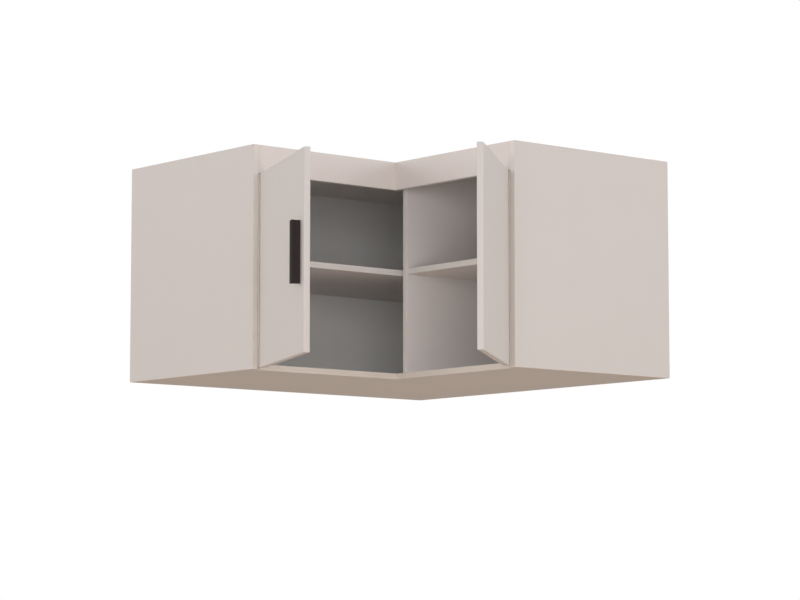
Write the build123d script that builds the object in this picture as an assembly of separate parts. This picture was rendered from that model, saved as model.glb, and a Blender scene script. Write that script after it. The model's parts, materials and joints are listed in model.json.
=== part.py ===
from build123d import *
import os

# A corner wall cabinet with two wings of equal size that meet at the room corner.
# Origin: the room corner at underside level. Left wing: along the wall x = 0, towards -Y.
# Right wing: along the wall y = 0, towards +X. Both wings are drawn once, in a wing's own
# axes: X along the wall from the room corner, Y out from the wall, Z up.

# ---- carcass ---------------------------------------------------------------------------
wing_length = 1060.0          # room corner to the outer face of an end panel
wing_depth = 570.0            # wall to the front plane
cabinet_height = 600.0
board = 16.0                  # all carcass boards
door_board = 16.0
rail_height = 77.0            # fascia rail above the doors
bottom_recess = 17.0          # front plane to the bottom panel's front edge
shelf_underside = 290.0
shelf_recess = 31.0           # front plane to a shelf's front edge
shelf_corner_recess = 55.0    # front plane to the corner shelf's short edge by the divider
shelf_play = 1.0
divider_recess = 27.0
back_sheet = 3.0
back_void = 18.0              # wall to the back sheets
groove_depth = 8.0
groove_play = 0.1
post_width = 60.0
post_wall_gap = 2.0

# ---- doors and handle ------------------------------------------------------------------
left_open_angle = 113.3
right_open_angle = 130.3
door_gap = 3.0                # beside a closed door and up to the corner between the wings
door_top_gap = 2.0            # rail to the door's top
door_bottom = 4.0
handle_length = 160.0
handle_edge_distance = 32.0   # free edge of the door to the handle
handle_drop = 2.5             # door's middle down to the handle's middle
handle_web_width = 12.0
handle_web_depth = 17.0
handle_head_width = 20.0
handle_head_depth = 7.0
handle_round = 1.0
handle_screw_spacing = 128.0

# ---- hinges ----------------------------------------------------------------------------
hinge_end_gap = 1.0           # door end to the end of its continuous hinge
hinge_axis_proud = 1.9        # front plane to the hinge axis
hinge_leaf = 1.2
hinge_barrel_radius = 2.2
hinge_pin_radius = 1.1
hinge_running_gap = 0.05
hinge_sweep_gap = 0.25
hinge_head_height = 0.8
knuckle_count = 17
knuckle_gap = 0.3
hinge_leaf_width = 15.0       # front plane to a leaf's inner edge
knuckles_per_screw = 3

# ---- fixings ---------------------------------------------------------------------------
fit_gap = 0.05
cam_radius = 7.5
cam_depth = 12.5
cam_distance = 34.0
cam_mouth_past_centre = 1.0
cam_driver_slot = (9.0, 1.2)  # length and width
cam_driver_slot_depth = 1.0
bolt_radius = 3.5
bolt_end_past_centre = 1.5    # cam's middle to the bolt's tip
bolt_neck_start = 5.0         # cam's middle to the neck
bolt_neck_length = 4.0
bolt_neck_radius = 2.3
bolt_thread_radius = 2.5
bolt_thread_length = 11.0
dowel_radius = 4.0
dowel_long_end = 19.0
dowel_short_end = 10.0
dowel_chamfer = 0.8
fixing_inset = 60.0
dowel_pitch = 32.0            # cam to its dowel
rail_cam_height = 25.0        # rail's lower edge to its cam
rail_dowel_height = 55.0
rail_top_dowel_inset = 80.0
screw_head_radius = 3.0
screw_head_depth = 1.6
screw_radius = 1.6
screw_length = 12.0
screw_recess_radius = 0.9
screw_recess_depth = 0.8
handle_screw_radius = 1.9
handle_screw_head_radius = 4.0
handle_screw_head = 2.2
handle_screw_bite = 11.0
nail_radius = 0.8
nail_length = 18.0
nail_head_radius = 2.4
nail_head = 0.7
nail_count = 5
nail_end_distance = 60.0
shelf_pin_radius = 2.5
shelf_pin_in_side = 7.0
shelf_pin_in_shelf = 8.0
shelf_pin_inset = 60.0
magnet_radius = 3.5
magnet_length = 10.0
magnet_proud = 0.4
magnet_edge_distance = 25.0   # door's free edge to its magnet
bumper_edge_distance = 70.0
bumper_radius = 4.0
bumper_thickness = 0.7
strike_radius = 4.0
strike_thickness = 1.0

# ---- hangers and wall rails ------------------------------------------------------------
hanger_width = 17.0
hanger_depth = 40.0
hanger_height = 58.0
hanger_top_gap = 8.0          # top panel's underside to a hanger
hanger_peg_radius = 5.0
hanger_peg_length = 11.0
hanger_peg_spacing = 32.0
hook_thickness = 2.5
hook_height = 14.0
hook_below_top = 12.0         # hanger's top to the hook's upper edge
hook_reach_inside = 28.0
hook_tip_drop = 12.0
hook_tip_thickness = 2.4
hook_wall_gap = 2.2
cover_wall = 1.2
hanger_screw_radius = 2.6
hanger_screw_length = 14.0
hanger_screw_drop = 5.2       # hook's lower edge to the screw's middle
hanger_screw_recess = 1.5
hook_play = 0.2
wall_rail_thickness = 1.5
wall_rail_plate = 24.0        # height of the part that lies on the wall
wall_rail_lip = 14.0          # height of the part that stands off the wall
wall_rail_offset = 5.0
wall_rail_end_gap = 6.0
wall_rail_corner_gap = 90.0
wall_hole_radius = 3.25
wall_hole_outer_spacing = 800.0
wall_hole_inner_spacing = 320.0

# ---- worked out from the sizes above -----------------------------------------------------
end_inner = wing_length - board
top_underside = cabinet_height - board
bottom_front = wing_depth - bottom_recess
top_front = wing_depth - board
rail_underside = cabinet_height - rail_height
back_front = back_void + back_sheet
shelf_top = shelf_underside + board
shelf_front = wing_depth - shelf_recess
divider_left = wing_depth
divider_right = wing_depth + board
divider_front = wing_depth - divider_recess
door_top = rail_underside - door_top_gap
door_hinge_edge = end_inner - door_gap
door_inner = wing_depth - door_board
door_middle = (door_bottom + door_top) / 2
door_free_edge = wing_depth + door_gap
hinge_along = end_inner - door_gap / 2
hinge_out = wing_depth + hinge_axis_proud
hinge_length = door_top - door_bottom - 2 * hinge_end_gap
handle_middle = door_free_edge + handle_edge_distance + handle_head_width / 2
handle_height = door_middle - handle_drop
catch_height = (door_bottom + board) / 2
magnet_along = door_free_edge + magnet_edge_distance
bumper_along = door_free_edge + bumper_edge_distance
hanger_top = top_underside - hanger_top_gap
hook_top = hanger_top - hook_below_top
hook_bottom = hook_top - hook_height
hook_centre = hanger_width / 2
hanger_screw_seat = (hook_centre, back_front + hanger_depth, hook_bottom - hanger_screw_drop)
wall_rail_top = hook_bottom
wall_rail_step = wall_rail_top - wall_rail_lip
wall_rail_bottom = wall_rail_step - wall_rail_plate
wall_rail_ends = (wall_rail_corner_gap, end_inner - wall_rail_end_gap)
wall_rail_middle = sum(wall_rail_ends) / 2


# ---- small tools ---------------------------------------------------------------------------
def slab(along, out, up):
    """Box between three pairs of limits."""
    limits = (along, out, up)
    size = [high - low for low, high in limits]
    middle = [(high + low) / 2 for low, high in limits]
    return Pos(*middle) * Box(*size)


def rod(start, direction, length, radius):
    """Cylinder from a start point along a direction."""
    plane = Plane(origin=start, z_dir=direction)
    base = Cylinder(radius, length, align=(Align.CENTER, Align.CENTER, Align.MIN))
    return plane.location * base


def cone(start, direction, length, start_radius, end_radius):
    """Cone frustum from a start point along a direction."""
    plane = Plane(origin=start, z_dir=direction)
    align = (Align.CENTER, Align.CENTER, Align.MIN)
    return plane.location * Cone(start_radius, end_radius, length, align=align)


def group(pieces):
    """Separate solids kept in one node."""
    return Compound([solid for piece in pieces for solid in piece.solids()])


def at(origin, x_dir, z_dir):
    """Placement whose X axis enters the drilled board and whose Z axis faces the user."""
    return Plane(origin=origin, x_dir=x_dir, z_dir=z_dir).location


def boxes_meet(first, second):
    """Whether two shapes' bounding boxes meet, which spares needless cuts."""
    one, two = first.bounding_box(), second.bounding_box()
    lows_and_highs = zip(tuple(one.min), tuple(one.max), tuple(two.min), tuple(two.max))
    return all(low < far and near < high for low, high, near, far in lows_and_highs)


def in_left_wing(shape):
    return Rot(0, 0, -90) * shape


def in_right_wing(shape):
    return shape.mirror(Plane.XZ)


def in_both_wings(shapes):
    return [wing(shape) for wing in (in_left_wing, in_right_wing) for shape in shapes]


def swing_open(shape, angle):
    """Turn a closed door's piece about the hinge axis, in a wing's axes."""
    axis = Pos(hinge_along, hinge_out, 0)
    return axis * Rot(0, 0, -angle) * axis.inverse() * shape


# ---- cam fixing and dowel: X = 0 is the joint face, Z = 0 the middle of the cam's board ------
def cam_lock():
    body = rod((-cam_distance, 0, board / 2 - cam_depth), (0, 0, 1), cam_depth, cam_radius)
    start = (-cam_distance - cam_mouth_past_centre, 0, 0)
    mouth = rod(start, (1, 0, 0), 2 * cam_radius, bolt_radius + fit_gap)
    driver_slot = Pos(-cam_distance, 0, board / 2) * Box(*cam_driver_slot, 2 * cam_driver_slot_depth)
    return body - mouth - driver_slot


def cam_bolt():
    """Bolt whose tip and neck lie in the cam's mouth and whose thread is in the other board."""
    tip = bolt_end_past_centre - cam_distance
    neck = bolt_neck_start - cam_distance
    shoulder = neck + bolt_neck_length
    knob = rod((tip, 0, 0), (1, 0, 0), neck - tip, bolt_radius)
    shaft = rod((shoulder, 0, 0), (1, 0, 0), -shoulder, bolt_radius)
    core = rod((tip, 0, 0), (1, 0, 0), -tip, bolt_neck_radius)
    return core + knob + shaft + rod((0, 0, 0), (1, 0, 0), bolt_thread_length, bolt_thread_radius)


def cam_board_hole():
    well = rod((-cam_distance, 0, board / 2), (0, 0, -1), cam_depth, cam_radius + fit_gap)
    return well + rod((0, 0, 0), (-1, 0, 0), cam_distance, bolt_radius + fit_gap)


def bolt_hole():
    length = bolt_thread_length + fit_gap
    return rod((0, 0, 0), (1, 0, 0), length, bolt_thread_radius + fit_gap)


def dowel():
    length = dowel_long_end + dowel_short_end
    plain = rod((-dowel_long_end, 0, 0), (1, 0, 0), length, dowel_radius)
    return chamfer(plain.edges().filter_by(GeomType.CIRCLE), dowel_chamfer)


def dowel_hole():
    length = dowel_long_end + dowel_short_end + 2 * fit_gap
    return rod((-dowel_long_end - fit_gap, 0, 0), (1, 0, 0), length, dowel_radius + fit_gap)


def horizontal_fixing_places(front_edge, middle_height, step=0.0):
    """Fixings between an end panel and the bottom or top panel, in a wing's axes."""
    depths = (back_front + fixing_inset + step, front_edge - fixing_inset - step)
    return [at((end_inner, depth, middle_height), (1, 0, 0), (0, 0, 1)) for depth in depths]


def carcass_cam_places():
    """Cam fixings that repeat in both wings."""
    places = horizontal_fixing_places(bottom_front, board / 2)
    places += horizontal_fixing_places(top_front, cabinet_height - board / 2)
    rail_point = (end_inner, wing_depth - board / 2, rail_underside + rail_cam_height)
    return places + [at(rail_point, (1, 0, 0), (0, -1, 0))]


def carcass_dowel_places():
    """Dowels that repeat in both wings."""
    places = horizontal_fixing_places(bottom_front, board / 2, dowel_pitch)
    places += horizontal_fixing_places(top_front, cabinet_height - board / 2, dowel_pitch)
    rail_point = (end_inner, wing_depth - board / 2, rail_underside + rail_dowel_height)
    places.append(at(rail_point, (1, 0, 0), (0, -1, 0)))
    top_middle = cabinet_height - board / 2
    for along in (wing_depth + rail_top_dowel_inset, end_inner - rail_top_dowel_inset):
        places.append(at((along, top_front, top_middle), (0, 1, 0), (0, 0, 1)))
    return places


def divider_places(step=0.0):
    """Fixings between the divider and the bottom and top panels."""
    middle = divider_left + board / 2
    depths = (back_front + fixing_inset + step, divider_front - fixing_inset - step)
    places = [at((middle, -depth, board), (0, 0, -1), (-1, 0, 0)) for depth in depths]
    return places + [at((middle, -depth, top_underside), (0, 0, 1), (-1, 0, 0)) for depth in depths]


def rail_corner_places():
    """Dowels where the left rail's end meets the right rail's front face."""
    heights = (rail_underside + rail_cam_height, rail_underside + rail_dowel_height)
    middle = wing_depth - board / 2
    return [at((middle, -wing_depth, height), (0, 1, 0), (0, 0, 1)) for height in heights]


def fixing_holes(make_hole, wing_places, world_places):
    """Every hole of one kind, in the cabinet's axes."""
    holes = in_both_wings([place * make_hole() for place in wing_places])
    return holes + [place * make_hole() for place in world_places]


def cams_and_bolts():
    wing_places = carcass_cam_places()
    cams = in_both_wings([place * cam_lock() for place in wing_places])
    cams += [place * cam_lock() for place in divider_places()]
    bolts = in_both_wings([place * cam_bolt() for place in wing_places])
    bolts += [place * cam_bolt() for place in divider_places()]
    return {"cam_locks": group(cams), "cam_bolts": group(bolts)}


def dowels():
    pieces = in_both_wings([place * dowel() for place in carcass_dowel_places()])
    pieces += [place * dowel() for place in divider_places(dowel_pitch) + rail_corner_places()]
    return {"wooden_dowels": group(pieces)}


def drill_carcass(panel):
    """Take every cam, bolt and dowel hole out of a board that it reaches."""
    holes = fixing_holes(cam_board_hole, carcass_cam_places(), divider_places())
    holes += fixing_holes(bolt_hole, carcass_cam_places(), divider_places())
    loose = divider_places(dowel_pitch) + rail_corner_places()
    holes += fixing_holes(dowel_hole, carcass_dowel_places(), loose)
    return panel - [hole for hole in holes if boxes_meet(panel, hole)]


# ---- screws ------------------------------------------------------------------------------------
def countersunk_screw(point, facing):
    """Screw whose flat head lies at a point and faces a direction."""
    inwards = tuple(-value for value in facing)
    head = cone(point, inwards, screw_head_depth, screw_head_radius, screw_radius)
    recess = rod(point, inwards, screw_recess_depth, screw_recess_radius)
    return head + rod(point, inwards, screw_length, screw_radius) - recess


def countersunk_hole(point, facing):
    inwards = tuple(-value for value in facing)
    rim = screw_head_radius + fit_gap
    shank = screw_radius + fit_gap
    head = cone(point, inwards, screw_head_depth + fit_gap, rim, shank)
    return head + rod(point, inwards, screw_length + fit_gap, shank)


# ---- continuous hinge: origin on the axis at mid height, closed, in a wing's axes -----------
half_gap = door_gap / 2
leaf_clear = half_gap - hinge_leaf
hinge_span = (-hinge_length / 2, hinge_length / 2)
knuckle_pitch = hinge_length / knuckle_count
frame_knuckles = range(0, knuckle_count, 2)
door_knuckles = range(1, knuckle_count, 2)
screw_knuckles = range(1, knuckle_count, knuckles_per_screw)


def knuckle_rods(indices, radius, shorten):
    starts = [hinge_span[0] + index * knuckle_pitch + shorten / 2 for index in indices]
    return [rod((0, 0, start), (0, 0, 1), knuckle_pitch - shorten, radius) for start in starts]


def hinge_leaf_plate(facing, own_knuckles, other_knuckles):
    """Leaf on the end panel (facing -1) or on the door's edge (facing 1), with its knuckles."""
    thickness = sorted((-facing * leaf_clear, -facing * half_gap))
    plate = slab(thickness, (-hinge_axis_proud - hinge_leaf_width, 0), hinge_span)
    plate = plate - knuckle_rods(other_knuckles, hinge_barrel_radius + hinge_sweep_gap, 0)
    plate = plate + knuckle_rods(own_knuckles, hinge_barrel_radius, knuckle_gap)
    bore_radius = hinge_pin_radius + hinge_running_gap
    bore = rod((0, 0, hinge_span[0]), (0, 0, 1), hinge_length, bore_radius)
    return plate - bore - [countersunk_hole(*seat) for seat in hinge_screw_seats(facing)]


def hinge_pin():
    ends = hinge_span[1]
    pin = rod((0, 0, -ends), (0, 0, 1), hinge_length, hinge_pin_radius)
    caps = [rod((0, 0, ends), (0, 0, 1), hinge_head_height, hinge_barrel_radius)]
    caps.append(rod((0, 0, -ends), (0, 0, -1), hinge_head_height, hinge_barrel_radius))
    return pin + caps


def hinge_screw_seats(facing):
    """Where a leaf's screws lie, and the way their heads face."""
    out = -hinge_axis_proud - hinge_leaf_width / 2
    rises = [hinge_span[0] + (index + 1 / 2) * knuckle_pitch for index in screw_knuckles]
    return [((-facing * leaf_clear, out, rise), (facing, 0, 0)) for rise in rises]


def at_hinge(shape):
    """Put a piece drawn at the hinge on a closed door."""
    return Pos(hinge_along, hinge_out, door_middle) * shape


def hinge_screws(facing):
    return [at_hinge(countersunk_screw(*seat)) for seat in hinge_screw_seats(facing)]


def hinge_screw_holes(facing):
    return [at_hinge(countersunk_hole(*seat)) for seat in hinge_screw_seats(facing)]


# ---- carcass boards ------------------------------------------------------------------------------
def wing_grooves():
    """Grooves for the back sheet in the end panel, bottom and top, in a wing's axes."""
    out = (back_void - groove_play, back_front + groove_play)
    rise = (board - groove_depth, top_underside + groove_depth)
    return slab((back_void - groove_play, end_inner + groove_depth), out, rise)


def end_pin_holes():
    return [pin_in_side(depth) for depth in pin_depths()]


def end_panel():
    """An end panel with its hinge, shelf-pin and hanger holes, in a wing's axes."""
    panel = slab((end_inner, wing_length), (0, wing_depth), (0, cabinet_height))
    pegs = [end_hanger_place(peg) for peg in hanger_pegs(fit_gap)]
    return panel - wing_grooves() - hinge_screw_holes(-1) - end_pin_holes() - pegs


def flat_panel(front_edge, rise):
    """L-shaped panel between the two end panels."""
    arm = slab((0, end_inner), (0, front_edge), rise)
    grooves = in_both_wings([wing_grooves()])
    return in_left_wing(arm) + in_right_wing(arm) - grooves


def bottom_panel():
    panel = flat_panel(bottom_front, (0, board))
    hole_length = magnet_length - magnet_proud + fit_gap
    start = (magnet_along, bottom_front, catch_height)
    pocket = rod(start, (0, -1, 0), hole_length, magnet_radius + fit_gap)
    return panel - in_both_wings([pocket])


def top_panel():
    return flat_panel(top_front, (top_underside, cabinet_height))


def front_rail(inner_end):
    return slab((inner_end, end_inner), (top_front, wing_depth), (rail_underside, cabinet_height))


def divider_panel():
    panel = slab((divider_left, divider_right), (-divider_front, -back_front), (board, top_underside))
    pins = [Pos(divider_left, 0, 0) * pin_hole_in_divider(depth) for depth in corner_pin_depths()]
    pins += [in_right_wing(Pos(divider_right, 0, 0) * pin_hole(depth, -1)) for depth in pin_depths()]
    pegs = [divider_hanger_place(peg) for peg in hanger_pegs(fit_gap)]
    return panel - pins - pegs


def back_sheet_panel(inner_end):
    """Back sheet held in grooves, with a slot for the hanger's hook at its outer end."""
    reach = groove_depth - 2 * groove_play
    rise = (board - reach, top_underside + reach)
    sheet = slab((inner_end, end_inner + reach), (back_void, back_front), rise)
    return sheet - end_hanger_place(hook_slot())


def back_sheets():
    left = in_left_wing(back_sheet_panel(back_front))
    right = in_right_wing(back_sheet_panel(back_void)) - divider_hanger_place(hook_slot())
    holes = nails(fit_gap)
    return {"left_back_panel": left - holes, "right_back_panel": right}


def corner_post():
    out = (post_wall_gap, back_void)
    run = (post_wall_gap, post_wall_gap + post_width)
    return in_left_wing(slab(run, out, (board, top_underside))) - nails(fit_gap)


def nails(extra=0.0):
    """Nails that hold the left back sheet to the corner post."""
    reach = top_underside - board - 2 * nail_end_distance
    heights = [board + nail_end_distance + reach * i / (nail_count - 1) for i in range(nail_count)]
    along = (post_wall_gap + post_width + back_front) / 2
    pieces = []
    for height in heights:
        head = rod((along, back_front, height), (0, 1, 0), nail_head, nail_head_radius)
        start = (along, back_front, height)
        shank = rod(start, (0, -1, 0), nail_length + extra, nail_radius + extra)
        pieces.append(in_left_wing(head + shank))
    return pieces


def carcass():
    left_rail = in_left_wing(front_rail(wing_depth))
    right_rail = in_right_wing(front_rail(top_front))
    boards = {
        "left_end_panel": in_left_wing(end_panel()),
        "right_end_panel": in_right_wing(end_panel()),
        "bottom_panel": bottom_panel(),
        "top_panel": top_panel(),
        "left_front_rail": left_rail,
        "right_front_rail": right_rail,
        "divider_panel": divider_panel(),
    }
    drilled = {name: drill_carcass(panel) for name, panel in boards.items()}
    sheets = back_sheets()
    return drilled | sheets | {"rear_corner_post": corner_post(), "back_nails": group(nails())}


# ---- shelves and their pins: a pin lies in a notch in the shelf's underside ------------------------
def pin_depths():
    return (back_front + shelf_pin_inset, shelf_front - shelf_pin_inset)


def corner_pin_depths():
    return (back_front + shelf_pin_inset, wing_depth - shelf_corner_recess - shelf_pin_inset)


def shelf_pin(depth, side):
    """Pin in a bay's side that faces away from a board at X = 0; side +1 or -1 is the bay's."""
    start = (-side * shelf_pin_in_side, depth, shelf_underside + shelf_pin_radius)
    length = shelf_pin_in_side + shelf_pin_in_shelf
    return rod(start, (side, 0, 0), length, shelf_pin_radius)


def pin_hole(depth, side):
    """Hole in a board whose face is X = 0 and that lies on side +1 or -1 of it."""
    start = (0, depth, shelf_underside + shelf_pin_radius)
    length = shelf_pin_in_side + fit_gap
    return rod(start, (side, 0, 0), length, shelf_pin_radius + fit_gap)


def pin_in_side(depth):
    return Pos(end_inner, 0, 0) * pin_hole(depth, 1)


def pin_hole_in_divider(depth):
    return pin_hole(depth, 1).mirror(Plane.XZ)


def pin_notch(depth, side):
    width = shelf_pin_radius + fit_gap
    reach = sorted((0, side * (shelf_pin_in_shelf + shelf_play)))
    rise = (shelf_underside, shelf_underside + 2 * width)
    return slab(reach, (depth - width, depth + width), rise)


def corner_shelf():
    rise = (shelf_underside, shelf_top)
    run = (back_front + shelf_play, end_inner - shelf_play)
    plate = in_left_wing(slab(run, (back_front + shelf_play, shelf_front), rise))
    widening = slab(
        (shelf_front - board, divider_left - shelf_play),
        (shelf_corner_recess - wing_depth, -back_front - shelf_play),
        rise,
    )
    end_notches = [in_left_wing(Pos(end_inner, 0, 0) * pin_notch(d, -1)) for d in pin_depths()]
    side_notches = [
        Pos(divider_left, 0, 0) * pin_notch(depth, -1).mirror(Plane.XZ)
        for depth in corner_pin_depths()
    ]
    return plate + widening - end_notches - side_notches


def right_shelf():
    run = (divider_right + shelf_play, end_inner - shelf_play)
    plate = slab(run, (back_front + shelf_play, shelf_front), (shelf_underside, shelf_top))
    notches = [Pos(end_inner, 0, 0) * pin_notch(depth, -1) for depth in pin_depths()]
    notches += [Pos(divider_right, 0, 0) * pin_notch(depth, 1) for depth in pin_depths()]
    return in_right_wing(plate - notches)


def shelves():
    end_pins = [Pos(end_inner, 0, 0) * shelf_pin(depth, -1) for depth in pin_depths()]
    divider_pins = [Pos(divider_right, 0, 0) * shelf_pin(depth, 1) for depth in pin_depths()]
    corner_pins = [
        Pos(divider_left, 0, 0) * shelf_pin(depth, -1).mirror(Plane.XZ)
        for depth in corner_pin_depths()
    ]
    return {
        "corner_shelf": corner_shelf(),
        "right_shelf": right_shelf(),
        "corner_shelf_pins": group([in_left_wing(pin) for pin in end_pins] + corner_pins),
        "right_shelf_pins": group([in_right_wing(pin) for pin in end_pins + divider_pins]),
    }


# ---- doors, drawn closed in a wing's axes ------------------------------------------------------------
def door_panel():
    limits = (door_free_edge, door_hinge_edge)
    panel = slab(limits, (door_inner, wing_depth), (door_bottom, door_top))
    return panel - hinge_screw_holes(1) - strike()


def strike():
    seat = (magnet_along, door_inner, catch_height)
    return rod(seat, (0, 1, 0), strike_thickness, strike_radius)


def handle_bar():
    rise = (handle_height - handle_length / 2, handle_height + handle_length / 2)
    web_end = wing_depth + handle_web_depth
    web_half = handle_web_width / 2
    head_half = handle_head_width / 2
    web = slab((handle_middle - web_half, handle_middle + web_half), (wing_depth, web_end), rise)
    head_limits = (web_end, web_end + handle_head_depth)
    head = slab((handle_middle - head_half, handle_middle + head_half), head_limits, rise)
    bar = web + fillet(head.edges().filter_by(Axis.Z), handle_round)
    threads = [handle_screw(height, fit_gap) for height in handle_screw_heights()]
    return bar - threads


def handle_screw_heights():
    half = handle_screw_spacing / 2
    return (handle_height - half, handle_height + half)


def handle_screw(height, extra=0.0):
    length = door_board + handle_screw_bite
    start = (handle_middle, door_inner, height)
    shank = rod(start, (0, 1, 0), length + extra, handle_screw_radius + extra)
    return shank + rod(start, (0, -1, 0), handle_screw_head, handle_screw_head_radius)


def door_pieces(side, angle, wing):
    """One door with its hinge leaf, screws and strike, opened and put in its wing."""

    def opened(shape):
        return wing(swing_open(shape, angle))

    panel = door_panel()
    if side == "left":
        panel = panel - [handle_screw(height, fit_gap) for height in handle_screw_heights()]
    leaf = at_hinge(hinge_leaf_plate(1, door_knuckles, frame_knuckles))
    return {
        f"{side}_door": opened(panel),
        f"{side}_hinge_door_leaf": opened(leaf),
        f"{side}_hinge_door_screws": group([opened(screw) for screw in hinge_screws(1)]),
        f"{side}_door_strike": opened(strike()),
    }


def frame_hinge_pieces(side, wing):
    leaf = at_hinge(hinge_leaf_plate(-1, frame_knuckles, door_knuckles))
    return {
        f"{side}_hinge_frame_leaf": wing(leaf),
        f"{side}_hinge_pin": wing(at_hinge(hinge_pin())),
        f"{side}_hinge_frame_screws": group([wing(screw) for screw in hinge_screws(-1)]),
    }


def handle():
    """The left door's handle and its screws, opened with the door."""
    screws = [handle_screw(height) for height in handle_screw_heights()]
    opened = [swing_open(screw, left_open_angle) for screw in screws]
    bar = in_left_wing(swing_open(handle_bar(), left_open_angle))
    return {"left_handle": bar, "handle_screws": group([in_left_wing(s) for s in opened])}


def catches():
    """Magnets and bumpers in the bottom panel's front edges."""
    start = (magnet_along, bottom_front + magnet_proud, catch_height)
    magnet = rod(start, (0, -1, 0), magnet_length, magnet_radius)
    seat = (bumper_along, bottom_front, catch_height)
    bumper = rod(seat, (0, 1, 0), bumper_thickness, bumper_radius)
    return {
        "door_magnets": group(in_both_wings([magnet])),
        "door_bumpers": group(in_both_wings([bumper])),
    }


# ---- hangers: X = 0 is the board's face and the bay lies at +X, Y out from the wall ---------------------
def end_hanger_place(shape):
    return Pos(end_inner, 0, 0) * shape.mirror(Plane.YZ)


def divider_hanger_place(shape):
    return in_right_wing(Pos(divider_right, 0, 0) * shape)


def hanger_pegs(extra=0.0):
    middle = hanger_top - hanger_height / 2
    out = back_front + hanger_depth / 2
    heights = (middle - hanger_peg_spacing / 2, middle + hanger_peg_spacing / 2)
    length = hanger_peg_length + extra
    radius = hanger_peg_radius + extra
    return [rod((0, out, height), (-1, 0, 0), length, radius) for height in heights]


def hook_slot():
    """Room for the hook in the body and the back sheet."""
    half = hook_thickness / 2 + hook_play
    rise = (hook_bottom - hook_play, hook_top + hook_play)
    reach = back_front + hook_reach_inside + fit_gap
    return slab((hook_centre - half, hook_centre + half), (0, reach), rise)


def hanger_screw():
    """Adjusting screw, reached from the front, that draws the cabinet to the wall."""
    body = rod(hanger_screw_seat, (0, -1, 0), hanger_screw_length, hanger_screw_radius)
    return body - rod(hanger_screw_seat, (0, -1, 0), hanger_screw_recess, hanger_screw_radius / 2)


def hanger_body():
    out = (back_front, back_front + hanger_depth)
    body = slab((0, hanger_width), out, (hanger_top - hanger_height, hanger_top))
    bore_radius = hanger_screw_radius + fit_gap
    thread = rod(hanger_screw_seat, (0, -1, 0), hanger_screw_length, bore_radius)
    return body + hanger_pegs() - hook_slot() - thread


def hanger_hook():
    half = hook_thickness / 2
    width = (hook_centre - half, hook_centre + half)
    tip_end = hook_wall_gap + hook_tip_thickness
    arm = slab(width, (hook_wall_gap, back_front + hook_reach_inside), (hook_bottom, hook_top))
    return arm + slab(width, (hook_wall_gap, tip_end), (hook_bottom - hook_tip_drop, hook_top))


def hanger_cover():
    """Cap that slides over a hanger body, open towards its board and the back sheet."""
    room = fit_gap * 2
    inner_width = hanger_width + room
    inner_out = back_front + hanger_depth + room
    inner_rise = (hanger_top - hanger_height - room, hanger_top + room)
    outer_rise = (inner_rise[0] - cover_wall, inner_rise[1] + cover_wall)
    outer = slab((0, inner_width + cover_wall), (back_front, inner_out + cover_wall), outer_rise)
    return outer - slab((0, inner_width), (back_front, inner_out), inner_rise)


def hangers():
    spots = {
        "left": lambda shape: in_left_wing(end_hanger_place(shape)),
        "centre": divider_hanger_place,
        "right": lambda shape: in_right_wing(end_hanger_place(shape)),
    }
    pieces = {}
    for name, spot in spots.items():
        pieces[f"{name}_hanger_body"] = spot(hanger_body())
        pieces[f"{name}_hanger_hook"] = spot(hanger_hook())
        pieces[f"{name}_hanger_cover"] = spot(hanger_cover())
    pieces["hanger_screws"] = group([spot(hanger_screw()) for spot in spots.values()])
    return pieces


def wall_rail():
    """Folded steel rail: a plate on the wall and a lip off it for the hooks."""
    fold = wall_rail_offset + wall_rail_thickness
    plate = slab(wall_rail_ends, (0, wall_rail_thickness), (wall_rail_bottom, wall_rail_step))
    step_rise = (wall_rail_step - wall_rail_thickness, wall_rail_step)
    step = slab(wall_rail_ends, (0, fold), step_rise)
    lip = slab(wall_rail_ends, (wall_rail_offset, fold), (step_rise[0], wall_rail_top))
    height = wall_rail_bottom + (wall_rail_plate - wall_rail_thickness) / 2
    holes = []
    for spacing in (wall_hole_outer_spacing, wall_hole_inner_spacing):
        for along in (wall_rail_middle - spacing / 2, wall_rail_middle + spacing / 2):
            holes.append(rod((along, 0, height), (0, 1, 0), wall_rail_thickness, wall_hole_radius))
    return plate + step + lip - holes


def all_pieces():
    pieces = carcass() | shelves() | cams_and_bolts() | dowels() | catches() | hangers() | handle()
    pieces |= door_pieces("left", left_open_angle, in_left_wing)
    pieces |= door_pieces("right", right_open_angle, in_right_wing)
    pieces |= frame_hinge_pieces("left", in_left_wing)
    pieces |= frame_hinge_pieces("right", in_right_wing)
    pieces["left_wall_rail"] = in_left_wing(wall_rail())
    pieces["right_wall_rail"] = in_right_wing(wall_rail())
    return pieces


os.makedirs("parts", exist_ok=True)
for name, shape in all_pieces().items():
    export_step(shape, f"parts/{name}.step")
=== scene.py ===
"""Dresses the corner wall cabinet: boards and bands, lacquer, metal, handle, light and camera."""

import json
import logging
import math
from dataclasses import dataclass, field
from enum import Enum
from typing import Protocol

import bmesh
import bpy
from mathutils import Color, Matrix, Vector


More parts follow.
